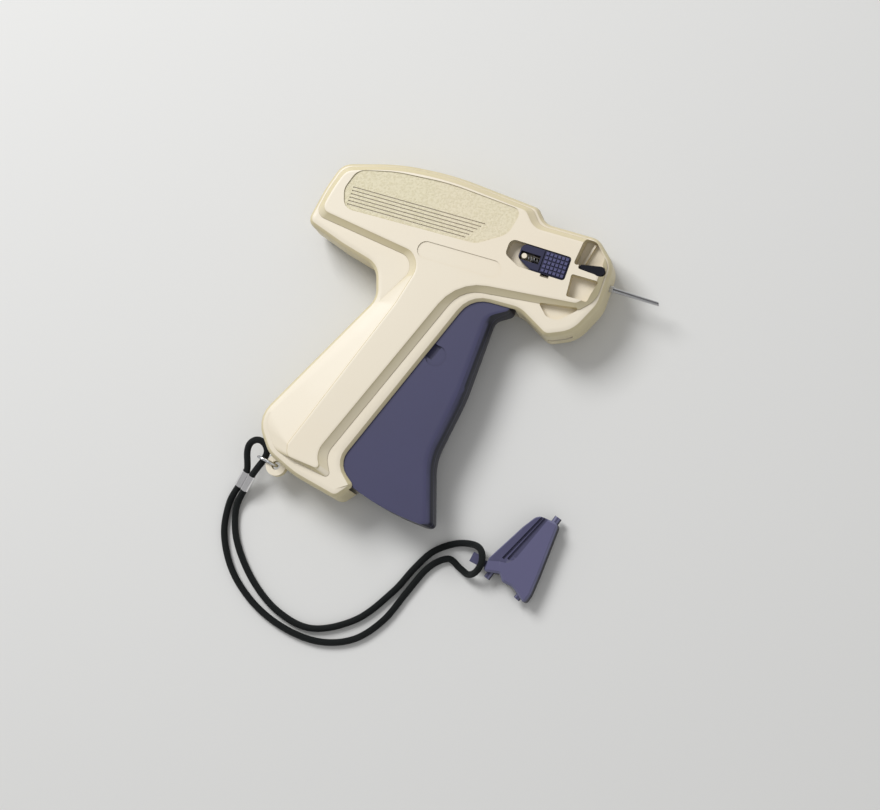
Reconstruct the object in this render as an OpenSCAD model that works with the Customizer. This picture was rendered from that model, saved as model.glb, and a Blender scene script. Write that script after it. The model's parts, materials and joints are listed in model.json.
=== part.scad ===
// Garment tag attacher: a pistol shaped hand tool that pushes plastic tag fasteners through cloth.
// It lies on its side. X runs forward along the needle, Y toward the top of the tool, Z up.
// Drawing coordinates have the needle's entry into the nose at x = 0, y = 0.

/* [Body] */
// Length of the housing from its nose to its rear end
body_l = 128.4; // [124:0.2:132]
// Thickness of both shells together
body_t = 26; // [25:0.5:30]
// Wall of each shell
wall = 2.2; // [1.6:0.1:2.4]
// Round along the outer edge of each shell
edge_r = 3.2; // [2.4:0.1:3.4]
// Height of the raised panel over the rim around it
panel_h = 3; // [2:0.1:3.2]
// Depth of the grooved oval below the panel
groove_h = 0.5; // [0.3:0.1:0.8]
// Distance between the grooves of the oval
groove_pitch = 1.5; // [1.2:0.1:2]
// Depth of the plaque's sunk outline
plaque_h = 0.4; // [0.2:0.1:0.8]
// Running gap round pieces that slide or turn
gap = 0.3; // [0.25:0.05:0.4]

/* [Fasteners and pins] */
// Radius of the steel pivot pins
pin_r = 2; // [1.5:0.1:2.2]
// Radial play of a pivot bore on its pin
pin_play = 0.06; // [0.03:0.01:0.1]
// Radius of a pivot boss in a shell
boss_r = 3.5; // [3.2:0.1:3.8]
// Radius of a screw's shank
screw_r = 1.3; // [1:0.1:1.5]
// Radius of a screw's head
screw_head_r = 2.5; // [2.2:0.1:2.7]
// Depth of a screw's sunk head
screw_head_h = 1.8; // [1.4:0.1:2.4]

/* [Trigger] */
// Thickness of the trigger
trigger_t = 15.2; // [14:0.1:15.4]
// Wall of the trigger's channel
trigger_wall = 2.4; // [2:0.1:2.6]
// How far the middle of the trigger's front stands out past its sides
trigger_bulge = 4.4; // [2:0.1:5]
// Full squeeze of the trigger in degrees
trigger_swing = 16; // [14:0.5:16]

/* [Drive] */
// Thickness of the drive lever
lever_t = 5; // [4:0.1:5.4]
// Half width of the drive lever's arms
lever_w = 3; // [2.4:0.1:3]
// Radius of the lever's head in the slide
lever_head_r = 2.6; // [2.2:0.1:2.8]
// Lean of the lever at each end of its swing, in degrees
lever_lean = 22.5; // [20:0.5:23]
// Length of the lever's upper arm
lever_top = 47; // [45:0.5:49]
// Length of the slide
slide_l = 26; // [22:0.5:27]
// Thickness of the slide
slide_t = 10; // [9.6:0.1:11]
// Radius of the push rod
rod_r = 0.5; // [0.4:0.05:0.55]

/* [Feed] */
// Radius over the teeth of the feed wheel
feed_r = 7.2; // [6.8:0.1:7.3]
// Thickness of the feed wheel
feed_t = 3.2; // [2.6:0.1:3.4]

/* [Needle] */
// Length of the needle in front of the nose
needle_l = 24; // [18:0.5:30]
// Radius of the needle at its root
needle_r = 1; // [0.95:0.05:1.2]
// Radius of the needle's bore
needle_bore_r = 0.65; // [0.62:0.01:0.7]

/* [Button] */
// Length of the release button
button_l = 21; // [20:0.1:21.4]
// Width of the release button
button_w = 9.6; // [8.6:0.1:9.8]
// Height of the release button
button_h = 4.4; // [4:0.1:4.8]
// Travel of the release button
button_travel = 4; // [2:0.1:4.5]

/* [Lanyard] */
// Diameter of the lanyard cord
cord_d = 2.8; // [2.4:0.1:2.8]
// Radius of the wire of the link
link_wire_r = 0.7; // [0.5:0.05:0.8]
// Thickness of the needle cap
cap_t = 8; // [7.6:0.1:10]

/* [Hidden] */
$fn = 48;

// ---- heights, all taken from the parting plane between the shells
mid = body_t / 2;
rim_z = mid - panel_h;
panel_edge = 0.8;
slot_z = trigger_t / 2 + gap;
overlap = 0.01;
deep = 60;

// ---- pivots
trigger_pivot = [-40, -12.5];
head_drop = 1.578;
lever_pivot = [-78, -head_drop - lever_top * cos(lever_lean)];
feed_pivot = [-20, -8];
lock_pivot = [-3.2, 3.7];
eyelet = [-105.8, -112.6];
eyelet_r = 4.3;
eyelet_hole_r = 1.85;
eyelet_t = 3.8;

// ---- outlines: corners [x, y, rounding radius], clockwise
corner_steps = 6;
nose_x = 1.4;
tail_x = -96;
tail_l = 31;
tail_share = (body_l - nose_x + tail_x) / tail_l;

// The corners of an outline, with its tail as long as the housing's length asks for
function tailed(corners) = [
    for (c = corners) [c[0] < tail_x && c[1] > -30 ? tail_x + (c[0] - tail_x) * tail_share : c[0], c[1], c[2]]
];
body_corners = tailed([
    [-127.0, -12.9, 4], [-124.6, 3, 60], [-121.2, 15.2, 8], [-97, 22.5, 90], [-74, 24.5, 120],
    [-36.2, 21.8, 4], [-31.2, 16.4, 6], [-8.4, 16.9, 7], [1.4, 8.2, 9], [1.4, -9.5, 14],
    [-5, -23.6, 14], [-15.8, -28.6, 4.6], [-29.5, -21.5, 10], [-49.7, -22.4, 11],
    [-78.7, -103.8, 8], [-69.3, -110.6, 2], [-75, -118.2, 4], [-95, -114.6, 40], [-108.2, -109.4, 12],
    [-118.4, -97.2, 12], [-88.0, -34.6, 8], [-92.4, -22.2, 8], [-109, -18.4, 60]
]);
panel_top = tailed([
    [-121.8, -7.2, 3.4], [-120.4, 3, 60], [-117.4, 12.2, 6], [-97, 19.0, 90], [-74, 21.0, 120],
    [-39.6, 18.5, 4], [-34.2, 12.6, 7], [-10.2, 13.2, 5], [-2.2, 6.6, 6], [-2.2, -7.4, 9],
    [-7.6, -12.4, 3], [-56.6, -18.2, 20], [-88.0, -103.2, 8], [-83.2, -109.6, 1.6],
    [-99.6, -108.4, 3], [-101.0, -103.4, 1.6], [-78.6, -35, 20], [-74.6, -17, 8], [-79.6, -12.3, 6]
]);
panel_foot = tailed([
    [-124.2, -9.2, 4], [-122.3, 3, 60], [-119.2, 13.7, 7], [-97, 20.8, 90], [-74, 22.8, 120],
    [-37.6, 20.0, 4], [-32.8, 14.4, 6], [-9.2, 15.0, 6], [-0.6, 7.4, 7], [-0.6, -8.2, 10],
    [-6.2, -14.2, 4], [-54.6, -20.4, 14], [-84.6, -102.4, 8], [-79.2, -111.4, 1.6],
    [-105.6, -107.4, 8], [-114.4, -96.2, 9], [-85.8, -36, 9], [-76.8, -18.6, 6], [-81.6, -14.0, 6]
]);

// ---- plane geometry
function xy(p) = [p[0], p[1]];
function unit(v) = v / norm(v);
function turned(v, a) = [v[0] * cos(a) - v[1] * sin(a), v[0] * sin(a) + v[1] * cos(a)];
function limited(v) = max(-1, min(1, v));

// Points of the round at corner b, whose edge is moved inward by inset
function corner_arc(a, b, c, inset) =
    let (
        u = unit(xy(a) - xy(b)),
        w = unit(xy(c) - xy(b)),
        half = acos(limited(u * w)) / 2,
        turn = u[1] * w[0] - u[0] * w[1],
        centre = xy(b) + unit(u + w) * b[2] / sin(half),
        start = xy(b) + u * b[2] / tan(half) - centre,
        radius = turn < 0 ? max(0.3, b[2] - inset) : b[2] + inset,
        sweep = (180 - 2 * half) * sign(turn)
    )
    [for (i = [0 : corner_steps - 1]) centre + turned(start, sweep * i / (corner_steps - 1)) * radius / b[2]];

// The closed outline of rounded corners, moved inward by inset
function outline(corners, inset = 0) =
    let (n = len(corners))
    [
        for (i = [0 : n - 1])
            each corner_arc(corners[(i + n - 1) % n], corners[i], corners[(i + 1) % n], inset)
    ];

function lifted(points, z) = [for (p = points) [p[0], p[1], z]];

// A closed solid through rings with the same number of points, lowest first
module loft(rings) {
    n = len(rings[0]);
    m = len(rings);
    polyhedron(
        points = [for (ring = rings) each ring],
        faces = [
            [for (j = [0 : n - 1]) n - 1 - j],
            [for (j = [0 : n - 1]) (m - 1) * n + j],
            for (i = [0 : m - 2], j = [0 : n - 1])
                each [
                    [i * n + j, i * n + (j + 1) % n, (i + 1) * n + (j + 1) % n],
                    [i * n + j, (i + 1) * n + (j + 1) % n, (i + 1) * n + j]
                ]
        ],
        convexity = 8
    );
}

// ---- tubes swept along a path
function path_tangent(path, i) = unit(path[min(i + 1, len(path) - 1)] - path[max(i - 1, 0)]);
function square_to(v, axis) = unit(v - (v * axis) * axis);
function path_sides(path, first) = [
    for (i = 0, side = square_to(first, path_tangent(path, 0));
         i < len(path);
         i = i + 1, side = i < len(path) ? square_to(side, path_tangent(path, i)) : side)
        side
];

// A tube of the given radius and number of sides; first points away from the path at its start
module tube(path, radius, sides, first) {
    across = path_sides(path, first);
    loft([
        for (i = [0 : len(path) - 1])
            let (s = across[i], t = cross(path_tangent(path, i), s))
            [
                for (j = [0 : sides - 1])
                    path[i] + radius * (cos(360 * j / sides) * s - sin(360 * j / sides) * t)
            ]
    ]);
}

// A smooth curve through the route's points, with the given number of steps from each to the next
function curve_point(a, b, c, d, t) =
    0.5 * (2 * b + (c - a) * t + (2 * a - 5 * b + 4 * c - d) * t * t + (3 * b - a - 3 * c + d) * t * t * t);
function smooth_route(route, steps) =
    let (n = len(route))
    [
        for (i = [0 : n - 2], k = [0 : steps - 1])
            curve_point(route[max(i - 1, 0)], route[i], route[i + 1], route[min(i + 2, n - 1)], k / steps),
        route[n - 1]
    ];

// ---- place in the part's frame: the box of the tool without its lanyard is centred on the origin
body_points = outline(body_corners);
needle_tip = needle_l;
x_shift = -(min([for (p = body_points) p[0]]) + needle_tip) / 2;
y_low = min(min([for (p = body_points) p[1]]), eyelet[1] - eyelet_r);
y_shift = -(y_low + max([for (p = body_points) p[1]])) / 2;

// Moves a piece from drawing coordinates, with z counted from the parting plane, into place
module placed() translate([x_shift, y_shift, mid]) children();

module at(p, z = 0) translate([p[0], p[1], z]) children();
module rod(r, z0, z1) translate([0, 0, z0]) cylinder(r = r, h = z1 - z0);

// ---- shells
screw_places = [[-113.5, 6.5], [-48, 15.2], [-100.6, -73], [-105.4, -101], [-14.8, -21.2]];
screws = [for (p = tailed(screw_places)) xy(p)];
screw_boss_r = screw_r + 1.9;
screw_end = 7;
cavity_z = mid - wall;
pin_end = rim_z;
axle_end = 7.4;
rail_low = -7;
rail_high = 8;
rail_w = 1.6;
spring_post = [-52.5, -11.4];
mouth = [
    [-31, -17], [-31, -34], [-40, -60], [-38, -100], [-66, -112], [-78.5, -111], [-84, -104],
    [-70, -58], [-56, -18.4]
];
nose_block = [[-16, 20], [4, 20], [4, -32], [-26, -32], [-26, -14.6], [-16, -14.6]];
chamber_r = 10.4;
chamber_z = 5.6;
channel_x = -15.6;
channel_t = 2.4;

// The rounded half that carries the panel, from the parting plane up, as one skin
module shell_outside() resize([0, 0, 0]) {
    loft([
        lifted(body_points, 0),
        lifted(body_points, rim_z - edge_r),
        lifted(outline(body_corners, edge_r * 0.12), rim_z - edge_r * 0.52),
        lifted(outline(body_corners, edge_r * 0.45), rim_z - edge_r * 0.16),
        lifted(outline(body_corners, edge_r), rim_z)
    ]);
    loft([
        lifted(outline(panel_foot), rim_z - 0.4),
        lifted(outline(panel_foot), rim_z + 0.2),
        lifted(outline(panel_top), mid - panel_edge),
        lifted(outline(panel_top, panel_edge * 0.5), mid - panel_edge * 0.25),
        lifted(outline(panel_top, panel_edge * 1.6), mid)
    ]);
}

// Bosses and rails that stand inside a shell; the screw bosses meet those of the other shell
module shell_fittings() {
    for (p = screws) at(p) rod(screw_boss_r, -2, mid);
    at(trigger_pivot) rod(boss_r, slot_z, mid);
    at(lever_pivot) rod(boss_r, lever_t / 2 + gap, mid);
    at(stop_at) rod(boss_r, channel_z, mid);
    translate([-107, rail_low - rail_w, slide_t / 2 - 1]) cube([60, rail_w, mid]);
    translate([-107, rail_high, slide_t / 2 - 1]) cube([70, rail_w, mid]);
}

// Space for the mechanism, the trigger's slot and the trigger's sweep past the toe
module shell_hollow() {
    difference() {
        union() {
            translate([0, 0, -1]) linear_extrude(slot_z + 1) offset(delta = overlap) {
                difference() {
                    offset(delta = -wall) polygon(body_points);
                    polygon(nose_block);
                }
                polygon(mouth);
                intersection() {
                    translate(trigger_pivot) circle(r = trigger_sweep_r, $fn = 180);
                    translate([-96, -118]) square([30, 60]);
                }
            }
            translate([0, 0, slot_z - 1]) linear_extrude(cavity_z - slot_z + 1)
                offset(delta = overlap) difference() {
                    offset(delta = -wall - 0.6) polygon(outline(panel_top));
                    polygon(nose_block);
                }
        }
        shell_fittings();
    }
    difference() {
        at(feed_pivot) rod(chamber_r, -1, chamber_z);
        at(feed_pivot) rod(boss_r, feed_z + feed_t + gap, mid);
    }
}

// A shell with the seats that both of them have
module shell() {
    difference() {
        shell_outside();
        shell_hollow();
        for (p = [trigger_pivot, lever_pivot]) at(p) rod(pin_r, -1, pin_end);
        at(feed_pivot) rod(axle_r, -1, axle_end);
        along_x() hub_shape(gap / 3);
        translate([channel_x, -40, -1]) cube([hub_back - channel_x, 80, 1 + channel_t / 2]);
        at(lock_pivot) rod(lock_shaft_r + pin_play, -1, lock_depth + pin_play);
    }
}

// ---- the near shell's face
oval_corners = tailed([
    [-115.4, 4.4, 6], [-112.6, 13.6, 6], [-97, 17.6, 60], [-74, 19.6, 100], [-41.4, 17.8, 3],
    [-43.4, 6.6, 8], [-55, -1.2, 8], [-112.6, -3.6, 5]
]);
line_turn = 1.6;
groove_count = 6;
groove_w = 0.5;
plaque_mid = [-59.3, -9.5];
plaque_l = 36;
plaque_w = 7.4;
recess_floor = 8.2;
tray_t = 1.8;
lock_floor = 7;
pocket_drop = 2;
upper_pocket = [
    [-12.8, 15.0, 1.5], [-8.4, 15.0, 3], [-3.0, 9.6, 3], [-2.6, 5.9, 1], [-14.0, 2.6, 1]
];
middle_pocket = [[-13.3, -1.2, 0.8], [-1.9, -0.9, 0.8], [-4.0, -10.2, 1.2], [-12.5, -10.6, 0.8]];
crescent_pocket = [[-22.8, -16.0, 0.6], [-5.6, -13.2, 0.6], [-13.0, -20.9, 5], [-18.0, -20.4, 3]];

module near_grooves() {
    for (i = [0 : groove_count - 1])
        translate([-112, 5.9 - groove_pitch * i, mid - 2 * groove_h]) rotate(line_turn)
            cube([58 - 1.2 * i, groove_w, 5]);
}

module plaque_outline() {
    translate(plaque_mid) rotate(line_turn) for (side = [-1, 1]) {
        translate([side * (plaque_l - plaque_w) / 2, 0]) circle(d = plaque_w);
        square([plaque_l - plaque_w, plaque_w], center = true);
    }
}

button_front = -15.6;
button_y = 0.15;
button_z = recess_floor + 0.2;
peg = [-34.3, 0.2];
peg_r = 1.1;
// The button's outline, grown all round, with its rear end moved back
function button_corners(grow, back) = [
    [button_front - button_l - grow - back, button_y + button_w / 2 + grow, 2.4 + grow],
    [button_front + grow, button_y + button_w / 2 + grow, 1 + grow],
    [button_front + grow, button_y - button_w / 2 - grow, 1 + grow],
    [button_front - button_l + 6.4 - back, button_y - button_w / 2 - grow, 2 + grow],
    [button_front - button_l - grow - back, button_y - 1.4 - grow, 2 + grow]
];
recess_corners = button_corners(gap, button_travel + 1);

// The lock lever's outline about its pivot, grown all round
module lock_outline(grow = 0) {
    polygon(outline([
        [lock_r + grow, lock_r + grow, 1.8 + grow],
        [lock_r + grow, -lock_r - grow, 1.8 + grow],
        [-lock_l - grow, -1.7 - grow, 0.9], [-lock_l - grow, 0.1 + grow, 0.9]
    ]));
}

module near_pockets() {
    translate([0, 0, lock_floor - pocket_drop]) linear_extrude(deep) polygon(outline(upper_pocket));
    translate([0, 0, lock_floor]) linear_extrude(deep) offset(delta = overlap)
        for (i = [0 : lock_steps]) at(lock_pivot) rotate(-lock_swing * i / lock_steps) lock_outline(gap);
    translate([0, 0, lock_floor + 1.4]) linear_extrude(deep) polygon(outline(middle_pocket));
    translate([0, 0, lock_floor + 0.4]) linear_extrude(deep) polygon(outline(crescent_pocket));
}

module body_near() color("#e4dbcb") placed() {
    difference() {
        union() {
            shell();
            translate([0, 0, recess_floor - tray_t]) linear_extrude(tray_t + 2)
                offset(delta = 1.6) polygon(outline(recess_corners));
        }
        translate([0, 0, recess_floor]) linear_extrude(deep) polygon(outline(recess_corners));
        translate([button_front - 9.8, button_y - button_w / 2 - 1.4, recess_floor + 2]) cube([3.6, 3, deep]);
        translate([key_x - button_travel - gap, button_y - key_w / 2 - gap, 0])
            cube([key_l + button_travel + 2 * gap, key_w + 2 * gap, deep]);
        near_pockets();
        translate([0, 0, mid - groove_h]) linear_extrude(deep) polygon(outline(oval_corners));
        near_grooves();
        translate([0, 0, mid - plaque_h]) linear_extrude(deep) plaque_outline();
        at(lock_pivot) rod(lock_shaft_r + pin_play, -1, deep);
        for (p = screws) at(p) rod(screw_r, -1, screw_end);
    }
    at(peg) rod(peg_r, recess_floor - 1, recess_floor + button_h - 0.2);
    at(spring_post) rod(1.2, coil_z, cavity_z + 0.5);
    translate([-11.2, 5, lock_floor - pocket_drop - 0.5]) rotate(-12) cube([0.8, 9.4, pocket_drop + 0.4]);
}

module body_far() color("#e4dbcb") placed() {
    difference() {
        union() {
            mirror([0, 0, 1]) shell();
            difference() {
                at(eyelet) rod(eyelet_r, -eyelet_t, 0);
                translate([0, 0, -deep]) linear_extrude(2 * deep)
                    offset(delta = -wall / 2) polygon(body_points);
            }
        }
        at(eyelet) rod(eyelet_hole_r, -deep, deep);
        for (p = screws) at(p) {
            rod(screw_r + pin_play, -deep, 1);
            rod(screw_head_r + gap / 2, -deep, screw_head_z);
        }
    }
}

// ---- screws, entered from the far side, with their heads sunk below the rim
screw_head_z = -rim_z + screw_head_h;
module body_screws() color("#8c8c8c") placed() for (p = screws) at(p) {
    difference() {
        union() {
            rod(screw_r, screw_head_z - 0.5, screw_end - 0.5);
            rod(screw_head_r, screw_head_z - screw_head_h * 0.8, screw_head_z);
        }
        for (a = [0, 90]) rotate(a) translate([-screw_r, -0.3, screw_head_z - screw_head_h])
            cube([2 * screw_r, 0.6, screw_head_h * 0.7]);
    }
}

// ---- trigger: a channel with a bowed front, open at the back; the last value is the share of the bow
trigger_corners = [
    [-44.9, -7.5, 4.8, 0], [-35.1, -7.5, 4.8, 0], [-33.4, -22.2, 2.4, 0], [-42.8, -27.4, 6, 0.9],
    [-43.4, -62, 80, 1], [-46.9, -89.6, 24, 1], [-37.4, -116.6, 2, 1], [-58.2, -115.8, 100, 0],
    [-78.6, -108.3, 2, 0], [-81.6, -98, 8, 0], [-70.5, -68, 20, 0], [-63, -55, 10, 0],
    [-58.6, -40, 12, 0], [-50.5, -20, 8, 0]
];
trigger_sweep_r = 105;
trigger_rings = 10;
trigger_edge = 0.6;
channel_z = trigger_t / 2 - trigger_wall;
hub_low = 17.6;
hub_front_x = -36.4;
channel_low = -112.6;
hub_layer = -1.4;
finger_l = 13.4;
finger_r = 1.4;
finger_neck = 1.5;
arm_t = 3;
arm_z = -2.1 - arm_t;
coil_z = -0.6;

function bowed(bow) = [for (c = trigger_corners) [c[0] + bow * c[3], c[1], c[2]]];
function trigger_ring(share) =
    let (s = sin(90 * share))
    lifted(
        outline(bowed(trigger_bulge * cos(90 * share)), abs(share) == 1 ? trigger_edge : 0),
        s * trigger_t / 2
    );

// Direction from the trigger's pivot to the feed wheel's, and the share of the distance that each arm takes
pivot_gap = feed_pivot - trigger_pivot;
mesh_angle = atan2(pivot_gap[1], pivot_gap[0]);
finger_angle = mesh_angle + trigger_swing / 2;
feed_teeth = 12;
feed_swing = 360 / feed_teeth;

// The trigger without its bores, as one skin
module trigger_blank() resize([0, 0, 0]) difference() {
    union() {
        loft([for (i = [0 : trigger_rings]) trigger_ring(2 * i / trigger_rings - 1)]);
        at(trigger_pivot, arm_z) rotate(finger_angle) {
            translate([0, -finger_neck / 2, 0]) cube([finger_l, finger_neck, arm_t]);
            translate([finger_l, 0, 0]) cylinder(r = finger_r, h = arm_t);
        }
    }
    translate([0, 0, -channel_z]) linear_extrude(2 * channel_z) intersection() {
        union() {
            offset(delta = -trigger_wall) polygon(outline(bowed(0)));
            polygon([[-47, -20], [-70, -20], [-100, -120], [-79, -104], [-66, -70], [-56, -40]]);
        }
        translate([-110, channel_low]) square([90, -hub_low - channel_low]);
    }
    translate([-70, -hub_low - 3.4, hub_layer]) cube([70 + hub_front_x, 20, channel_z - hub_layer]);
}

module trigger() color("#464664") placed() difference() {
    trigger_blank();
    at(trigger_pivot) rod(pin_r + pin_play, -deep, deep);
    at(push_pin_at) rod(push_pin_r, -push_pin_z, push_pin_z);
}

// The shells' stop stands behind the rear edge of the squeezed trigger
function squeezed(p) = trigger_pivot + turned(xy(p) - trigger_pivot, -trigger_swing);
rear_top = squeezed(trigger_corners[12]);
rear_low = squeezed(trigger_corners[11]);
stop_at = (rear_top + rear_low) / 2 + (boss_r + gap) * turned(unit(rear_top - rear_low), 90);

module trigger_pin() color("silver") placed() at(trigger_pivot) rod(pin_r, -pin_end, pin_end);

// ---- drive lever: its head moves the slide and the trigger's push pin presses its lower arm
lever_low = 29;
push_at = 25;
push_pin_r = 2;
push_pin_z = channel_z + 1.4;
lever_down = [sin(lever_lean), -cos(lever_lean)];
lever_front = [cos(lever_lean), sin(lever_lean)];
push_pin_at = lever_pivot + push_at * lever_down + (lever_w + push_pin_r + gap) * lever_front;
head_at = lever_pivot - lever_top * lever_down;

module push_pin() color("silver") placed() at(push_pin_at) rod(push_pin_r, -push_pin_z, push_pin_z);

module drive_lever() color("#e8e4d8") placed() at(lever_pivot, -lever_t / 2) rotate(lever_lean) {
    difference() {
        union() {
            cylinder(r = lever_w + 1.8, h = lever_t);
            translate([0, lever_top, 0]) cylinder(r = lever_head_r, h = lever_t);
            linear_extrude(lever_t) polygon([
                [-lever_w, 0], [-1.9, lever_top], [1.9, lever_top], [lever_w, 0], [lever_w, -lever_low],
                [1.6, -lever_low - 2.4], [-1.6, -lever_low - 2.4], [-lever_w, -lever_low]
            ]);
        }
        translate([0, 0, -1]) cylinder(r = pin_r + pin_play, h = lever_t + 2);
        for (z = [-1, lever_t - 1.2]) translate([0, 0, z]) linear_extrude(2.2) {
            polygon([[-1.8, 7], [-1.1, lever_top - 6], [1.1, lever_top - 6], [1.8, 7]]);
            polygon([[-1.8, -7], [-1.8, -lever_low], [1.8, -lever_low], [1.8, -7]]);
        }
    }
}
module lever_pin() color("silver") placed() at(lever_pivot) rod(pin_r, -pin_end, pin_end);

// ---- torsion spring on the trigger's pin; its long leg is drawn where the squeezed trigger holds it
coil_r = pin_r + 0.8;
coil_wire_r = 0.45;
coil_leave = 38;
coil_sweep = 3 * 360 + 90 + coil_leave;
coil_pitch = 1.05;
coil_steps = 34;
coil_top = coil_pitch * coil_sweep / 360;
long_leg = [-10.6, -12.9];
module return_spring() color("#a8a8a8") placed() at(trigger_pivot, coil_z + coil_wire_r)
    tube(
        [
            [spring_post[0] - trigger_pivot[0] - 1.5, coil_r, 0],
            [-coil_r, coil_r, 0],
            for (i = [0 : coil_steps])
                let (a = 90 - coil_sweep * i / coil_steps)
                [coil_r * cos(a), coil_r * sin(a), coil_top * i / coil_steps],
            [long_leg[0] / 4, long_leg[1] / 3, coil_top],
            [long_leg[0], long_leg[1], coil_top]
        ],
        coil_wire_r, 6, [0, 0, 1]
    );

// ---- slide and push rod
slide_back = 6;
slide_low = rail_low + gap;
slide_high = rail_high - gap;
head_play = 0.6;
rod_hold = 8;
rod_rest = channel_x - 0.8;
module slide() color("#e8e4d8") placed() translate([head_at[0], 0, 0]) {
    slot_w = lever_head_r + head_play;
    difference() {
        union() {
            translate([-slide_back, slide_low, -slide_t / 2])
                cube([slide_l, slide_high - slide_low, slide_t]);
            translate([slide_l - slide_back, 0, 0]) rotate([0, 90, 0]) cylinder(r = 3, h = 3);
        }
        translate([0, 0, -lever_t / 2 - gap]) linear_extrude(lever_t + 2 * gap)
            polygon([
                [-slot_w, slide_high - 2], [slot_w, slide_high - 2], [slot_w, -1], [slot_w + 2.2, -8],
                [-slot_w - 2.2, -8], [-slot_w, -1]
            ]);
        translate([slide_l - slide_back - rod_hold, 0, 0]) rotate([0, 90, 0]) cylinder(r = rod_r, h = deep);
        for (z = [-slide_t / 2 - 1, slide_t / 2 - 1.2])
            translate([slot_w + 3.6, slide_low + 2, z]) cube([slide_l - 16, slide_high - slide_low - 4, 2.2]);
    }
}
module push_rod() color("silver") placed()
    translate([head_at[0] + slide_l - slide_back - rod_hold, 0, 0]) rotate([0, 90, 0])
        cylinder(r = rod_r, h = rod_rest - head_at[0] - slide_l + slide_back + rod_hold);

// ---- feed: guide for the rod, toothed wheel, and the forked arm whose pawl turns the wheel
guide_x = [-34, -16.2];
guide_t = 3;
axle_r = 1.5;
feed_z = 1.9;
feed_root = feed_r - 1.5;
tooth_flank = 4;
pawl_angle = -80;
fork_w = 2 * finger_r + 0.7;
fork_root = 5.2;
fork_tip = 8.3;
arm_hub_r = 4.2;
pawl_w = 2.6;
pawl_out = feed_r + 2.6;
pawl_post = 1.6;
module feed_guide() color("#9a9a96") placed() difference() {
    union() {
        translate([guide_x[0], -3, -guide_t / 2]) cube([guide_x[1] - guide_x[0], 6, guide_t]);
        translate([guide_x[0], -3.4, -cavity_z]) cube([2.4, 6.8, cavity_z + recess_floor - tray_t]);
    }
    translate([guide_x[0] - 1, 0, 0]) rotate([0, 90, 0]) cylinder(r = rod_r + pin_play, h = 30);
}

module feed_wheel() color("#d9d5c6") placed() at(feed_pivot, feed_z) rotate(pawl_angle - 8) difference() {
    linear_extrude(feed_t) difference() {
        polygon([
            for (i = [0 : feed_teeth - 1])
                let (a = 360 / feed_teeth * i)
                each [feed_r * [cos(a), sin(a)], feed_root * [cos(a + tooth_flank), sin(a + tooth_flank)]]
        ]);
        circle(r = axle_r + pin_play);
    }
    for (a = [0 : 60 : 300]) rotate(a) translate([3.4, 0, feed_t / 2]) cylinder(r = 0.7, h = feed_t);
}
module feed_axle() color("silver") placed() at(feed_pivot) rod(axle_r, -axle_end, axle_end);

module feed_arm() color("#d9d5c6") placed() at(feed_pivot) {
    translate([0, 0, arm_z]) linear_extrude(arm_t) difference() {
        union() {
            circle(r = arm_hub_r);
            rotate(180 + mesh_angle - feed_swing / 2) translate([0, -fork_w]) square([fork_tip, 2 * fork_w]);
            rotate(pawl_angle) translate([0, -pawl_w / 2]) square([pawl_out, pawl_w]);
        }
        circle(r = axle_r + pin_play);
        rotate(180 + mesh_angle - feed_swing / 2) translate([fork_root, -fork_w / 2])
            square([fork_tip, fork_w]);
    }
    rotate(pawl_angle) translate([pawl_out - pawl_post, -pawl_w / 2 + 0.2, arm_z + 1])
        cube([pawl_post - 0.2, pawl_w - 0.4, feed_z + feed_t - arm_z - 1]);
    rotate(pawl_angle) translate([0, 0, feed_z + 0.4]) linear_extrude(feed_t - 0.8)
        polygon([[pawl_out - 1.2, -0.9], [feed_root + 0.6, -0.4], [pawl_out - 1.2, 0.9]]);
}

// ---- needle, its hub and the lever that locks the hub in the nose
hub_r = 2.2;
hub_groove_r = 1.5;
hub_back = -6.4;
hub_groove = [-4.7, -1.7];
hub_step = -0.9;
hub_front = 3;
collar_r = 1.4;
lock_shaft_r = 1.8;
lock_depth = 2;
lock_r = 2.2;
lock_l = 8.2;
lock_t = 4.6;
lock_swing = 60;
lock_steps = 6;
module along_x() rotate([90, 0, 90]) children();

// The hub turned about its own axis, grown by the seat's play
module hub_shape(play) rotate_extrude() polygon([
    [0, hub_back - play], [hub_r + play, hub_back - play], [hub_r + play, hub_step + play],
    [collar_r + play, hub_step + play], [collar_r + play, hub_front + play], [0, hub_front + play]
]);
module needle_hub() color("#9a9a9a") placed() along_x() difference() {
    hub_shape(0);
    translate([0, 0, hub_groove[0]]) difference() {
        cylinder(r = hub_r + 1, h = hub_groove[1] - hub_groove[0]);
        translate([0, 0, -1]) cylinder(r = hub_groove_r, h = 10);
    }
    translate([0, 0, hub_back - 1]) cylinder(r = needle_bore_r, h = 20);
    translate([0, 0, hub_back + 1.6]) cylinder(r = needle_r, h = 20);
}

module needle() color("silver") placed() difference() {
    along_x() difference() {
        rotate_extrude() polygon([
            [0, hub_back + 1.6], [needle_r, hub_back + 1.6], [needle_r, hub_front + 1],
            [needle_r * 0.86, needle_l], [0, needle_l]
        ]);
        translate([0, 0, hub_back]) cylinder(r = needle_bore_r, h = needle_l + 20);
    }
    translate([hub_back, -0.25, 0]) cube([needle_l + 20, 0.5, 4]);
    translate([needle_l, -needle_r, 0]) rotate([0, 0, 24]) translate([-1, -5, -5]) cube([5, 12, 10]);
}

module needle_lock() color("#16161e") placed() {
    at(lock_pivot, lock_floor + gap / 2) linear_extrude(lock_t) lock_outline();
    difference() {
        at(lock_pivot) rod(lock_shaft_r, -lock_depth, lock_floor + 1);
        at(lock_pivot) rotate(lock_swing - 90) translate([1.4, -5, -lock_depth - 1])
            cube([5, 10, lock_depth + 4]);
    }
}

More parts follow.
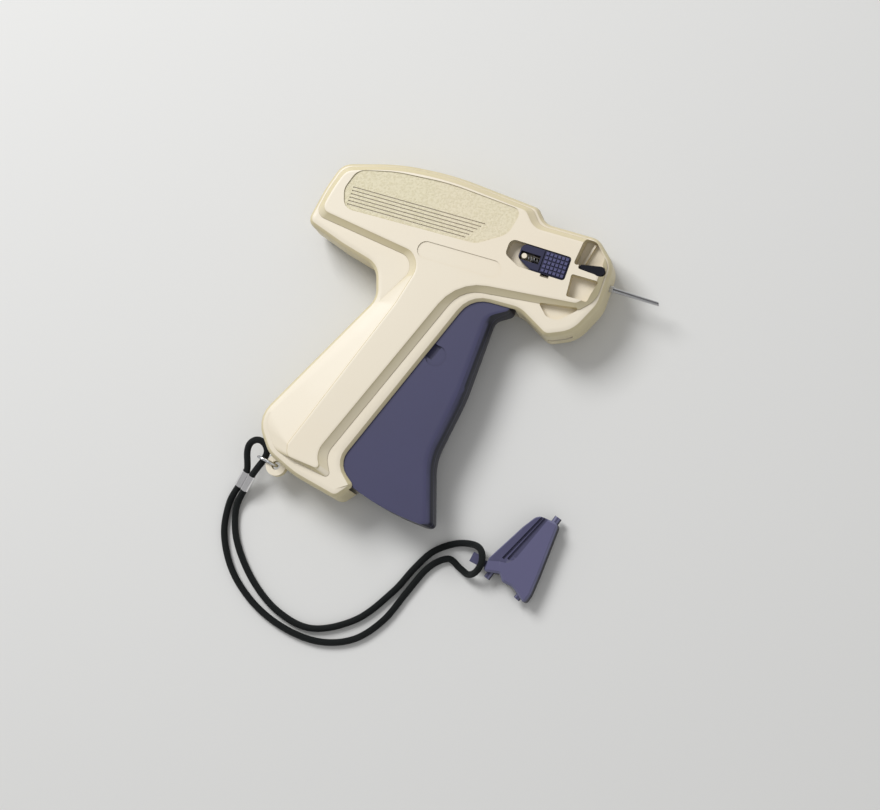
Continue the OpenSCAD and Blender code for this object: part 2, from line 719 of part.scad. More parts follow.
// ---- release button, its window for the shell's peg, and the spring between them
window = [-36, -27.6];
window_w = 3.6;
grid_x = 6;
grid_y = 5;
grid_pitch = [1.66, 1.8];
grid_size = 1.15;
grid_h = 0.5;
key_x = window[1] + 0.6;
key_l = 5;
key_w = 2;
key_low = recess_floor - tray_t + gap;
button_spring_r = 0.95;
button_wire_r = 0.2;
button_spring_x = [peg[0] + peg_r + 0.1, -22.6];
button_spring_turns = 8;
button_steps = 8;
module release_button() color("#2c2c52") placed() {
    difference() {
        union() {
            translate([0, 0, button_z]) linear_extrude(button_h - 0.4) polygon(outline(button_corners(0, 0)));
            translate([0, 0, button_z + button_h - 0.6]) linear_extrude(0.6)
                offset(delta = -0.4) polygon(outline(button_corners(0, 0)));
            for (i = [0 : grid_x - 1], j = [0 : grid_y - 1])
                translate([
                    button_front - 1.2 - grid_pitch[0] * i - grid_size / 2,
                    button_y + (j - (grid_y - 1) / 2) * grid_pitch[1] - grid_size / 2,
                    button_z + button_h - 0.3
                ]) cube([grid_size, grid_size, grid_h + 0.3]);
            translate([key_x, button_y - key_w / 2, key_low]) cube([key_l, key_w, button_z + 1 - key_low]);
        }
        translate([window[0], button_y - window_w / 2, button_z - 1])
            cube([window[1] - window[0], window_w, deep]);
        translate([window[1] + 0.9, button_y - button_w, button_z + button_h - 0.5])
            cube([0.5, 2 * button_w, 2]);
        translate([window[1] - 1, peg[1], button_z + button_h / 2]) rotate([0, 90, 0])
            cylinder(r = button_spring_r + button_wire_r + 0.2, h = 10.4);
    }
}

module button_spring() color("#d0d0d0") placed()
    translate([button_spring_x[0], peg[1], button_z + button_h / 2]) tube(
        [
            for (i = [0 : button_spring_turns * button_steps])
                let (a = 360 * i / button_steps)
                [
                    button_wire_r + (button_spring_x[1] - button_spring_x[0] - 2 * button_wire_r) * i
                        / (button_spring_turns * button_steps),
                    button_spring_r * cos(a),
                    button_spring_r * sin(a)
                ]
        ],
        button_wire_r, 6, [1, 0, 0]
    );

// ---- lanyard: points of the cord's route, x and y in drawing coordinates, z from the table
cord_r = cord_d / 2;
lane_a = [[-118.23, -118.4, 7.4], [-120.33, -124.85, 3.8]];
lane_b = [[-115.47, -119.3, 7.4], [-117.57, -125.75, 3.8]];
cord_route = [
    [-116.38, -122.1, 5.83], [-115.47, -119.3, 7.4], [-113.7, -115.6, 9.5], [-112, -111.8, 11.1],
    [-111.7, -108.2, 11.8], [-113.8, -105.5, 12.2], [-117, -104.9, 12], [-119.7, -106.9, 11.2],
    [-120.2, -110.8, 10], [-118.23, -118.4, 7.4], [-120.33, -124.85, 3.8], [-122.3, -133.6, 1.6],
    [-119.6, -146.6, 1.4], [-110.6, -159.8, 1.4], [-96.6, -169.6, 1.4], [-80.6, -174.6, 1.4],
    [-65.2, -174.6, 1.4], [-52.2, -168.8, 1.4], [-43.4, -157.6, 1.4], [-38.2, -143.8, 1.4],
    [-33.2, -131.4, 1.4], [-26.6, -125.2, 1.5], [-20.6, -127.2, 1.9], [-16, -128.6, 3.6],
    [-12.8, -126.3, 6.7], [-11.9, -121.7, 8.05], [-14.2, -117.5, 6.6], [-19, -116.4, 3.2],
    [-26.2, -118.6, 1.6], [-33.6, -124.6, 1.4], [-38.6, -133.6, 1.4], [-43.8, -145.6, 1.4],
    [-54.2, -161, 1.4], [-70.4, -170.6, 1.4], [-86.6, -168.8, 1.4], [-101.4, -160.2, 1.4],
    [-113.4, -147.4, 1.4], [-118.6, -135, 1.6], [-117.57, -125.75, 3.8], [-116.65, -123, 5.35]
];
module on_table() translate([x_shift, y_shift, 0]) children();

module cord_tube(r) tube(smooth_route(cord_route, 2), r, 8, [1, 0, 0]);
module lanyard_cord() color("#101112") on_table() cord_tube(cord_r);

// A straight round bar from one point to another
module bar(p, q, r) {
    v = q - p;
    translate(p) rotate([0, acos(v[2] / norm(v)), atan2(v[1], v[0])]) cylinder(r = r, h = norm(v));
}
sleeve_wall = 0.45;
cord_play = 0.05;
module lanyard_ferrule() color("#c9ccd0") on_table() resize([0, 0, 0]) difference() {
    for (lane = [lane_a, lane_b]) bar(lane[0], lane[1], cord_r + sleeve_wall);
    for (lane = [lane_a, lane_b])
        bar(lane[0] + (lane[0] - lane[1]), lane[1] + (lane[1] - lane[0]), cord_r - cord_play);
    cord_tube(cord_r + cord_play);
}

link_turn = 172;
link_rise = eyelet_t / 2 + 0.3 + link_wire_r;
link_from = 0.1;
link_to = 8.6;
module lanyard_link() color("#c9ccd0") placed() at(eyelet, -eyelet_t / 2) rotate(link_turn) {
    for (side = [-1, 1]) translate([link_from + link_rise, 0, side * link_rise]) rotate([0, 90, 0])
        cylinder(r = link_wire_r, h = link_to - link_from - 2 * link_rise);
    translate([link_to - link_rise, 0, 0]) rotate([90, 0, 0]) rotate([0, 0, -90])
        rotate_extrude(angle = 180) translate([link_rise, 0]) circle(r = link_wire_r);
    translate([link_from + link_rise, 0, 0]) rotate([90, 0, 0]) rotate([0, 0, 90])
        rotate_extrude(angle = 180) translate([link_rise, 0]) circle(r = link_wire_r);
}

// ---- cap that guards the needle, tied to the lanyard by its tab
cap_corners = [
    [-9.6, -119.4, 1.6], [-0.8, -103.2, 12], [3.6, -96.6, 4], [12.8, -97.4, 2], [12.0, -120, 60],
    [11.4, -128.4, 3], [10.0, -132.6, 1.2], [3.4, -127.6, 6], [-1.4, -127.0, 1.2], [-3.4, -124.2, 1.2],
    [-10.6, -125.6, 1.4]
];
cap_edge = 0.9;
cap_axis = 69;
cap_bore_r = 2;
cap_bore_l = 27;
cap_mouth = [-1.6, -127.6];
tab_z = 3.4;
tab_t = 2.6;
tab_turn = -9;
tab_w = 4.2;
tab_at = [-17.2, -123.3];
neck_w = 2.6;
neck_l = 6;
neck_at = [-13.6, -123.1];
cap_pegs = [
    [[10, -99], [11.3, -94.8], 1.6], [[-7.2, -124], [-8.4, -127.6], 1.4], [[7.4, -128], [6, -131.6], 1.4]
];
// The finger grip on the cap's face: a lowered field with grooves that run out over the cap's end
grip_h = 0.5;
grip_corners = [
    [-11.6, -121.2, 1], [-1.4, -95.4, 1], [8.8, -95.4, 1],
    [0.8, -116.6, 3], [-1.6, -119.2, 3], [-5, -119.6, 3]
];
grip_starts = [[-3.6, -118.2], [-1.5, -117.8], [0.3, -116]];
grip_turn = 65;
grip_l = 26;
grip_groove_h = 1.4;
grip_groove_w = 1.1;
module needle_cap() color("#464664") on_table() resize([0, 0, 0]) difference() {
    union() {
        loft([
            lifted(outline(cap_corners, cap_edge), 0),
            lifted(outline(cap_corners), cap_edge),
            lifted(outline(cap_corners), cap_t - cap_edge),
            lifted(outline(cap_corners, cap_edge), cap_t)
        ]);
        translate([neck_at[0], neck_at[1], tab_z]) rotate(tab_turn) cube([neck_l, neck_w, tab_t]);
        translate([tab_at[0], tab_at[1], tab_z]) rotate(tab_turn) cube([tab_w, tab_w, tab_t]);
        for (peg = cap_pegs)
            bar([peg[0][0], peg[0][1], cap_t / 2], [peg[1][0], peg[1][1], cap_t / 2], peg[2]);
    }
    translate([cap_mouth[0], cap_mouth[1], cap_t / 2]) rotate([0, 90, cap_axis])
        cylinder(r = cap_bore_r, h = cap_bore_l);
    translate([0, 0, cap_t - grip_h]) linear_extrude(cap_t) polygon(outline(grip_corners));
    for (i = [0 : len(grip_starts) - 1])
        translate([grip_starts[i][0], grip_starts[i][1], cap_t - grip_groove_h]) rotate(grip_turn + 1.5 * i)
            cube([grip_l, grip_groove_w, cap_t]);
}

body_near();
body_far();
body_screws();
trigger();
trigger_pin();
push_pin();
return_spring();
drive_lever();
lever_pin();
slide();
push_rod();
feed_guide();
feed_wheel();
feed_axle();
feed_arm();
needle_hub();
needle();
needle_lock();
release_button();
button_spring();
lanyard_link();
lanyard_ferrule();
lanyard_cord();
needle_cap();
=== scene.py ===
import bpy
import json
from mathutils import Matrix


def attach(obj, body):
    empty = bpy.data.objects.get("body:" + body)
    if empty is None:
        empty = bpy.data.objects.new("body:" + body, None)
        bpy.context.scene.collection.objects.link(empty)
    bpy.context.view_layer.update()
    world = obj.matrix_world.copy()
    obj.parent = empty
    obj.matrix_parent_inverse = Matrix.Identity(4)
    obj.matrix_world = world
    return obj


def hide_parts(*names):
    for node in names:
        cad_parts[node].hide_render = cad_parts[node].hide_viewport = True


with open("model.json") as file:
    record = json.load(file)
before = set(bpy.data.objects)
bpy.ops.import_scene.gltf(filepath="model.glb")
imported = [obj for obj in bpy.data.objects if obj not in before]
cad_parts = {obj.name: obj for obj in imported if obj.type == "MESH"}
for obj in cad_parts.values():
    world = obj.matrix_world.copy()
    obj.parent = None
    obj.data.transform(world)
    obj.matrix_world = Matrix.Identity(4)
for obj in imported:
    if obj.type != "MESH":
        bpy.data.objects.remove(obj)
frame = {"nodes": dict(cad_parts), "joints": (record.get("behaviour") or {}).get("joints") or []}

"""Looks of a garment tag attacher: finishes, the free cord and finer pieces on its fixed frame.

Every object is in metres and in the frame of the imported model. Sizes that come from the drawing are
written in millimetres and counted, as in the drawing, from the needle's entry into the nose.
"""
import json
import logging
import math
from dataclasses import dataclass, field
from enum import Enum
from typing import Callable, ClassVar, Sequence

import bmesh
import bpy
from mathutils import Matrix, Vector

LOG = logging.getLogger("tag_attacher")
MM = 0.001
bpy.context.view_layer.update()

Point = tuple[float, float, float]
Colour = tuple[float, float, float]
Rise = tuple[float, float]
"""The limit round which a value rises from 0 to 1, and the width of the rise."""
Noise = tuple[float, float, float]
"""A cloudy pattern's waves in a metre, its octaves and how strong the fine octaves are."""


class Body(Enum):
    """The rigid bodies that the scene's own pieces ride on."""

    TOOL = "root"
    TRIGGER = "trigger"
    LOCK = "needle_lock"
    BUTTON = "release_button"


def joint_place(name: str) -> Vector:
    """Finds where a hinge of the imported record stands.

    Args:
        name: The joint's name.

    Returns:
        A point on the hinge's axis, in metres.
    """
    joint = next(j for j in frame["joints"] if j["name"] == name)
    return Vector(joint["pos_m"])


TRIGGER_PIVOT = (-40.0, -12.5)
SHIFT = joint_place("trigger_squeeze") - Vector((TRIGGER_PIVOT[0] * MM, TRIGGER_PIVOT[1] * MM, 0))


def place(x: float, y: float, z: float) -> Vector:
    """Turns a drawing point in millimetres, with z from the table, into a place in metres."""
    return Vector((x * MM + SHIFT.x, y * MM + SHIFT.y, z * MM))


def risen(limit: float, blur: float) -> Rise:
    """Turns a rise in millimetres of height into metres."""
    return limit * MM, blur * MM


def toned(colour: Colour, tone: float) -> Colour:
    """Makes a colour darker, or lighter above 1, by a share of itself."""
    return tuple(tone * part for part in colour)


# ---------------------------------------------------------------- modelling by operators


class Bench:
    """Operators on one piece at a time, with everything else deselected."""

    @staticmethod
    def pick(piece: bpy.types.Object) -> None:
        """Makes a piece the only selected and active one."""
        bpy.ops.object.select_all(action="DESELECT")
        piece.hide_set(False)
        piece.select_set(True)
        bpy.context.view_layer.objects.active = piece

    @staticmethod
    def clear() -> None:
        """Deselects everything."""
        bpy.ops.object.select_all(action="DESELECT")

    @staticmethod
    def edit(piece: bpy.types.Object, mode: str = "FACE") -> None:
        """Enters edit mode on a piece with the given kind of element, all of it deselected."""
        Bench.pick(piece)
        bpy.ops.object.mode_set(mode="EDIT")
        bpy.ops.mesh.select_mode(type=mode)
        bpy.ops.mesh.select_all(action="DESELECT")

    @staticmethod
    def done() -> None:
        """Leaves edit mode."""
        bpy.ops.object.mode_set(mode="OBJECT")

    @staticmethod
    def choose(piece: bpy.types.Object, test: Callable[[bmesh.types.BMFace], bool]) -> None:
        """Selects the faces that pass a test, while the piece is in edit mode.

        Args:
            piece: The piece in edit mode.
            test: Says whether a face is wanted.
        """
        shape = bmesh.from_edit_mesh(piece.data)
        for face in shape.faces:
            face.select_set(bool(test(face)))
        bmesh.update_edit_mesh(piece.data)

    @staticmethod
    def modify(piece: bpy.types.Object, kind: str, **settings: object) -> None:
        """Adds a modifier to a piece and applies it.

        Args:
            piece: The piece.
            kind: The modifier's type.
            **settings: The modifier's own settings.
        """
        Bench.pick(piece)
        modifier = piece.modifiers.new(kind.title(), kind)
        for name, value in settings.items():
            setattr(modifier, name, value)
        bpy.ops.object.modifier_apply(modifier=modifier.name)

    @staticmethod
    def settle(piece: bpy.types.Object) -> None:
        """Moves a piece's place, turn and scale into its mesh."""
        Bench.pick(piece)
        bpy.ops.object.transform_apply(location=True, rotation=True, scale=True)

    @staticmethod
    def smooth(piece: bpy.types.Object, degrees: float) -> None:
        """Shades a piece smooth but for the edges sharper than an angle."""
        Bench.pick(piece)
        bpy.ops.object.shade_smooth_by_angle(angle=math.radians(degrees))


# ---------------------------------------------------------------- materials


class Term:
    """A number in a shader, with the arithmetic that the finishes use."""

    def __init__(self, desk: "Desk", socket: object) -> None:
        self.desk = desk
        self.socket = socket

    def _math(self, operation: str, first: object, second: object) -> "Term":
        """Adds a Math node for two terms or numbers."""
        return self.desk.node("ShaderNodeMath", {"operation": operation}, {0: first, 1: second})

    def __add__(self, other: object) -> "Term":
        """Adds."""
        return self._math("ADD", self, other)

    def __sub__(self, other: object) -> "Term":
        """Takes away."""
        return self._math("SUBTRACT", self, other)

    def __rsub__(self, other: object) -> "Term":
        """Takes this term away from a number."""
        return self._math("SUBTRACT", other, self)

    def __mul__(self, other: object) -> "Term":
        """Multiplies."""
        return self._math("MULTIPLY", self, other)

    def above(self, limit: float, blur: float) -> "Term":
        """Rises from 0 to 1 round a limit.

        Args:
            limit: The value at which the result is one half.
            blur: The width of the rise.

        Returns:
            The term from 0 to 1.
        """
        return self.desk.node(
            "ShaderNodeMapRange", {"interpolation_type": "SMOOTHSTEP"},
            {0: self, 1: limit - blur / 2, 2: limit + blur / 2},
        )

    def band(self, first: Rise, last: Rise) -> "Term":
        """Rises from 0 to 1 at a first limit and falls back to 0 at a last one."""
        return self.above(*first) * (1 - self.above(*last))


class Desk:
    """One material's node tree."""

    SHARE, FIRST, SECOND, MIXED = 0, 6, 7, 2
    """A Mix node's colour sockets by number, because its other kinds share their names."""

    def __init__(self, name: str) -> None:
        self.material = bpy.data.materials.new(name)
        self.material.use_nodes = True
        self.tree = self.material.node_tree
        self.tree.nodes.clear()
        self.places = self.raw("ShaderNodeTexCoord", {}, {})

    def raw(self, kind: str, settings: dict, inputs: dict) -> bpy.types.Node:
        """Adds a node, sets it and joins its sockets."""
        made = self.tree.nodes.new(kind)
        for name, value in settings.items():
            setattr(made, name, value)
        for name, value in inputs.items():
            if isinstance(value, Term):
                value = value.socket
            if isinstance(value, bpy.types.NodeSocket):
                self.tree.links.new(value, made.inputs[name])
            else:
                made.inputs[name].default_value = value
        return made

    def node(self, kind: str, settings: dict, inputs: dict, out: object = 0) -> Term:
        """Adds a node.

        Args:
            kind: The node's type.
            settings: Its own settings, which are set first.
            inputs: Values or links of its sockets, by name or number.
            out: Its output's name or number.

        Returns:
            The output as a term.
        """
        return Term(self, self.raw(kind, settings, inputs).outputs[out])

    def spot(self, turn: float = 0, stretch: Point = (1, 1, 1)) -> Term:
        """Gives the place on the object, turned about Z in degrees and stretched."""
        inputs = {
            "Vector": self.places.outputs["Object"], "Rotation": (0, 0, math.radians(turn)),
            "Scale": stretch,
        }
        return self.node("ShaderNodeMapping", {}, inputs)

    def part(self, source: str, name: str) -> Term:
        """Gives one coordinate of an output of the texture coordinates."""
        return self.node("ShaderNodeSeparateXYZ", {}, {0: self.places.outputs[source]}, name)

    def height(self) -> Term:
        """Gives the height above the table, in metres."""
        return self.part("Object", "Z")

    def facing_up(self) -> Term:
        """Gives how far the surface faces up, from -1 to 1."""
        return self.part("Normal", "Z")

    def noise(
        self, scale: float, detail: float, roughness: float, spot: Term | None = None
    ) -> Term:
        """Gives a cloudy pattern from 0 to 1.

        Args:
            scale: Its waves in a metre.
            detail: Its octaves.
            roughness: How strong the fine octaves are.
            spot: The place, if not the plain one.

        Returns:
            The pattern.
        """
        inputs = {
            "Vector": spot or self.spot(), "Scale": scale, "Detail": detail, "Roughness": roughness,
        }
        return self.node("ShaderNodeTexNoise", {}, inputs)

    def mix(self, share: object, first: object, second: object) -> Term:
        """Mixes two colours by a share."""
        inputs = {
            self.SHARE: share, self.FIRST: self._colour(first), self.SECOND: self._colour(second),
        }
        return self.node("ShaderNodeMix", {"data_type": "RGBA"}, inputs, self.MIXED)

    @staticmethod
    def _colour(value: object) -> object:
        """Completes a colour with its alpha."""
        return (*value, 1) if isinstance(value, tuple) else value

    def bump(self, height: Term, depth: float) -> Term:
        """Turns a height pattern into a normal, depth in metres."""
        inputs = {"Height": height, "Distance": depth, "Strength": 1}
        return self.node("ShaderNodeBump", {}, inputs)

    def finish(self, **sockets: object) -> bpy.types.Material:
        """Ends the tree with a Principled shader.

        Args:
            **sockets: The shader's sockets, with _ for a space.

        Returns:
            The material.
        """
        inputs = {name.replace("_", " "): self._colour(value) for name, value in sockets.items()}
        shader = self.node("ShaderNodeBsdfPrincipled", {}, inputs)
        self.raw("ShaderNodeOutputMaterial", {}, {"Surface": shader})
        return self.material


PLASTIC_IOR = 1.5


@dataclass(frozen=True)
class MouldedPlastic:
    """Moulded plastic with a fine grain, painted shade on its sides and pale rims of wear and painted
    highlight.

    On request it has raised pads of another colour, or ribs on its sides with painted highlight
    lines. Heights and widths are in millimetres, heights above the table. Tones are shares of the
    face's colour.
    """

    UP: ClassVar[Rise] = (0.84, 0.24)
    RIM_FROM: ClassVar[Rise] = (0.58, 0.2)
    RIM_TO: ClassVar[Rise] = (0.93, 0.06)
    CLOUDS: ClassVar[Noise] = (38, 5, 0.6)
    CLOUDY: ClassVar[Rise] = (0.54, 0.4)
    SPECKS: ClassVar[Noise] = (2600, 2, 0.5)
    SPECKLED: ClassVar[Rise] = (0.66, 0.1)
    SCUFFS: ClassVar[Noise] = (900, 4, 0.7)
    SCUFFED: ClassVar[Rise] = (0.72, 0.08)
    GRAIN: ClassVar[Noise] = (1500, 3, 0.6)
    WAVES: ClassVar[Noise] = (260, 2, 0.5)

    name: str
    face: Colour
    # The colour of the sides, darker as painted shade.
    shaded_slope: Colour
    roughness: float = 0.42
    grain: float = 9e-6
    cloud: float = 0.12
    coat: float = 0.0
    shine: float = 0.35
    rim_wear_and_highlight: Colour | None = None
    pads: Colour | None = None
    pads_from: float = 0.0
    ribs: tuple[float, ...] = ()
    cloud_tone: float = 0.80
    speck: float = 0.12
    speck_tone: float = 0.66
    scuff: float = 0.18
    scuff_tone: float = 1.5
    scuff_turn: float = -58
    scuff_stretch: Point = (1, 0.12, 1)
    rim_cloud: float = 0.9
    rim_least: float = 0.25
    pad_share: float = 0.8
    pad_blur: float = 0.1
    cloud_roughness: float = 0.14
    roughness_drop: float = 0.06
    wave: float = 0.6
    rib_width: float = 0.5
    rib_blur: float = 0.3
    rib_height: float = 12
    rib_highlight_share: float = 0.45
    coat_roughness: float = 0.2

    def material(self) -> bpy.types.Material:
        """Builds the material."""
        desk = Desk(self.name)
        facing = desk.facing_up()
        up = facing.above(*self.UP)
        height = desk.height()
        clouds = desk.noise(*self.CLOUDS)
        specks = desk.noise(*self.SPECKS)
        scuffs = desk.noise(*self.SCUFFS, desk.spot(self.scuff_turn, self.scuff_stretch))
        # Painted shade: faces that turn away from up take the darker side colour.
        base = desk.mix(up, self.shaded_slope, self.face)
        for pattern, rise, share, tone in (
            (clouds, self.CLOUDY, self.cloud, self.cloud_tone),
            (specks, self.SPECKLED, self.speck, self.speck_tone),
            (scuffs, self.SCUFFED, self.scuff, self.scuff_tone),
        ):
            base = desk.mix(pattern.above(*rise) * share * up, base, toned(self.face, tone))
        # Pale band where the face turns into the side: partly wear, partly painted highlight.
        if self.rim_wear_and_highlight:
            edge = facing.band(self.RIM_FROM, self.RIM_TO)
            base = desk.mix(edge * (clouds * self.rim_cloud + self.rim_least), base, self.rim_wear_and_highlight)
        if self.pads:
            raised = height.above(*risen(self.pads_from, self.pad_blur))
            base = desk.mix(raised * self.pad_share, base, self.pads)
        rough = clouds * self.cloud_roughness + (self.roughness - self.roughness_drop)
        bumps = desk.noise(*self.GRAIN) + desk.noise(*self.WAVES) * self.wave
        # Each rib is raised in the bump and painted in the face's colour as a highlight line on the
        # darker side.
        for rib in self.ribs:
            below = risen(rib - self.rib_width / 2, self.rib_blur)
            line = height.band(below, risen(rib + self.rib_width / 2, self.rib_blur)) * (1 - up)
            bumps = bumps + line * self.rib_height
            base = desk.mix(line * self.rib_highlight_share, base, self.face)
        return desk.finish(
            Base_Color=base, Roughness=rough, Normal=desk.bump(bumps, self.grain),
            IOR=PLASTIC_IOR, Specular_IOR_Level=self.shine, Coat_Weight=self.coat,
            Coat_Roughness=self.coat_roughness,
        )


@dataclass(frozen=True)
class HousingPlastic:
    """The ivory plastic of the housing, with the stippled floor of its grooved oval.

    Painted shade darkens its sides and the steep walls near its top, as in the oval's grooves, and
    painted shade mixed with dirt darkens the foot of the raised panel. Heights are in millimetres.
    """

    UP: ClassVar[Rise] = (0.80, 0.36)
    STEEP: ClassVar[Rise] = (0.50, 0.3)
    CLOUDS: ClassVar[Noise] = (30, 5, 0.6)
    CLOUDY: ClassVar[Rise] = (0.55, 0.5)
    SPECKS: ClassVar[Noise] = (3000, 2, 0.5)
    SPECKLED: ClassVar[Rise] = (0.68, 0.1)
    PITS: ClassVar[Noise] = (1150, 3, 0.65)
    PITTED: ClassVar[Rise] = (0.56, 0.2)
    PIT_HEIGHT: ClassVar[Rise] = (0.52, 0.24)
    DIRT_AND_SHADE: ClassVar[Noise] = (95, 4, 0.65)
    DIRT_AND_SHADE_RISE: ClassVar[Rise] = (0.40, 0.5)
    BLUSH: ClassVar[Noise] = (16, 3, 0.5)
    BLUSHED: ClassVar[Rise] = (0.60, 0.3)
    GRAIN: ClassVar[Noise] = (1700, 3, 0.6)
    WAVES: ClassVar[Noise] = (170, 2, 0.5)

    name: str = "ivory_plastic"
    face: Colour = (0.775, 0.705, 0.575)
    # The colour of the sides, darker and yellower as painted shade.
    shaded_slope: Colour = (0.66, 0.58, 0.36)
    pool: Colour = (0.70, 0.645, 0.45)
    shade_and_dirt_colour: Colour = (0.20, 0.15, 0.06)
    cloud_colour: Colour = (0.74, 0.66, 0.52)
    speck_colour: Colour = (0.56, 0.48, 0.32)
    pit_colour: Colour = (0.52, 0.46, 0.26)
    blush_colour: Colour = (0.80, 0.68, 0.52)
    pool_share: float = 0.85
    cloud: float = 0.25
    speck: float = 0.16
    pit: float = 0.42
    blush: float = 0.20
    groove_shade_share: float = 0.75
    foot_dirt_and_shade: float = 0.5
    foot_least_shade: float = 0.35
    oval_floor: float = 25.5
    oval_reach: float = 0.06
    oval_blur: float = 0.04
    cut_depth: float = 0.9
    cut_blur: float = 0.1
    rim_top: float = 23.0
    foot_from: tuple[float, float] = (0.02, 0.06)
    foot_to: tuple[float, float] = (0.30, 0.10)
    roughness: float = 0.36
    cloud_roughness: float = 0.10
    oval_roughness: float = 0.15
    grain: float = 0.12
    wave: float = 0.10
    stipple: float = 75e-6

    def material(self) -> bpy.types.Material:
        """Builds the material."""
        desk = Desk(self.name)
        height = desk.height()
        up = desk.facing_up().above(*self.UP)
        clouds = desk.noise(*self.CLOUDS)
        specks = desk.noise(*self.SPECKS)
        pits = desk.noise(*self.PITS)
        dirt_and_shade = desk.noise(*self.DIRT_AND_SHADE).above(*self.DIRT_AND_SHADE_RISE)
        below = risen(self.oval_floor - self.oval_reach, self.oval_blur)
        floor = height.band(below, risen(self.oval_floor + self.oval_reach, self.oval_blur)) * up
        # Painted shade on the steep walls that rise above a depth below the oval's floor, as in the
        # oval's grooves.
        steep = 1 - desk.facing_up().above(*self.STEEP)
        cut = steep * height.above(*risen(self.oval_floor - self.cut_depth, self.cut_blur))
        # Painted shade at the foot of the raised panel, broken up by a noise of dirt.
        (low, low_blur), (high, high_blur) = self.foot_from, self.foot_to
        below = risen(self.rim_top + low, low_blur)
        foot = height.band(below, risen(self.rim_top + high, high_blur)) * (1 - up)
        blush = desk.noise(*self.BLUSH).above(*self.BLUSHED)
        # Painted shade: faces that turn away from up take the darker, yellower side colour.
        base = desk.mix(up, self.shaded_slope, self.face)
        for share, colour in (
            (floor * self.pool_share, self.pool),
            (clouds.above(*self.CLOUDY) * self.cloud, self.cloud_colour),
            (specks.above(*self.SPECKLED) * self.speck, self.speck_colour),
            (pits.above(*self.PITTED) * floor * self.pit, self.pit_colour),
            (cut * self.groove_shade_share, self.shade_and_dirt_colour),
            (foot * (dirt_and_shade * self.foot_dirt_and_shade + self.foot_least_shade), self.shade_and_dirt_colour),
            (blush * self.blush, self.blush_colour),
        ):
            base = desk.mix(share, base, colour)
        rough = clouds * self.cloud_roughness + floor * self.oval_roughness + self.roughness
        grain = desk.noise(*self.GRAIN) * self.grain + desk.noise(*self.WAVES) * self.wave
        bumps = grain + pits.above(*self.PIT_HEIGHT) * floor
        return desk.finish(
            Base_Color=base, Roughness=rough, Normal=desk.bump(bumps, self.stipple),
            IOR=PLASTIC_IOR,
        )


@dataclass(frozen=True)
class Metal:
    """Bare or plated metal, with drawn lines or soft waves."""

    LINE_OCTAVES: ClassVar[tuple[float, float]] = (3, 0.6)
    STAINS: ClassVar[Noise] = (140, 4, 0.6)
    STAINED: ClassVar[Rise] = (0.6, 0.3)

    name: str
    colour: Colour
    roughness: float = 0.25
    line: float = 900
    stretch: Point = (1, 1, 1)
    relief: float = 4e-6
    stain: float = 0.35
    stain_tone: float = 0.62
    line_roughness: float = 0.14
    stain_roughness: float = 0.10
    roughness_drop: float = 0.08

    def material(self) -> bpy.types.Material:
        """Builds the material."""
        desk = Desk(self.name)
        lines = desk.noise(self.line, *self.LINE_OCTAVES, desk.spot(stretch=self.stretch))
        stains = desk.noise(*self.STAINS)
        stained = stains.above(*self.STAINED) * self.stain
        base = desk.mix(stained, self.colour, toned(self.colour, self.stain_tone))
        rough = lines * self.line_roughness + stains * self.stain_roughness
        rough = rough + (self.roughness - self.roughness_drop)
        return desk.finish(
            Base_Color=base, Roughness=rough, Metallic=1.0, Normal=desk.bump(lines, self.relief),
        )


@dataclass(frozen=True)
class ElasticCord:
    """Black round cord with a fine braided sleeve, patterned along and round the cord."""

    FLUFF: ClassVar[Noise] = (4200, 3, 0.7)

    name: str = "black_cord"
    colour: Colour = (0.0035, 0.0042, 0.0045)
    worn: Colour = (0.016, 0.020, 0.020)
    along: float = 190
    round_it: float = 8
    strand_share: float = 0.8
    fluff_share: float = 0.3
    fluff_height: float = 0.35
    relief: float = 160e-6
    roughness: float = 0.72
    sheen: float = 0.06
    sheen_roughness: float = 0.4
    shine: float = 0.18

    def material(self) -> bpy.types.Material:
        """Builds the material."""
        desk = Desk(self.name)
        flat, turn = desk.part("UV", "X"), desk.part("UV", "Y")
        left = self._wave(desk, flat * self.along + turn * self.round_it)
        right = self._wave(desk, flat * self.along - turn * self.round_it)
        strands = left * right
        fluff = desk.noise(*self.FLUFF)
        shares = strands * self.strand_share + fluff * self.fluff_share
        bumps = strands + fluff * self.fluff_height
        return desk.finish(
            Base_Color=desk.mix(shares, self.colour, self.worn), Roughness=self.roughness,
            Normal=desk.bump(bumps, self.relief), Sheen_Weight=self.sheen,
            Sheen_Roughness=self.sheen_roughness, Specular_IOR_Level=self.shine,
        )

    @staticmethod
    def _wave(desk: Desk, phase: Term) -> Term:
        """Turns a count of strands into a ridge per strand, from 0 to 1."""
        ridge = desk.node("ShaderNodeMath", {"operation": "SINE"}, {0: phase * math.tau})
        return ridge * 0.5 + 0.5


# ---------------------------------------------------------------- finishes

VIOLET = MouldedPlastic(
    "violet_plastic", face=(0.060, 0.059, 0.122), shaded_slope=(0.0085, 0.0095, 0.021), roughness=0.36,
    grain=7e-6, cloud=0.35, coat=0.08, shine=0.30, rim_wear_and_highlight=(0.10, 0.10, 0.19), ribs=(9.4, 13.0, 16.6),
)
LILAC = MouldedPlastic(
    "lilac_plastic", face=(0.070, 0.068, 0.138), shaded_slope=(0.010, 0.010, 0.024), roughness=0.40,
    grain=8e-6, cloud=0.25, shine=0.30, rim_wear_and_highlight=(0.20, 0.20, 0.33), pads=(0.112, 0.108, 0.205),
    pads_from=7.8,
)
NAVY = MouldedPlastic(
    "navy_plastic", face=(0.020, 0.020, 0.058), shaded_slope=(0.006, 0.006, 0.020), roughness=0.38,
    grain=8e-6, cloud=0.3, shine=0.28, rim_wear_and_highlight=(0.06, 0.06, 0.13), pads=(0.092, 0.092, 0.205),
    pads_from=26.02,
)
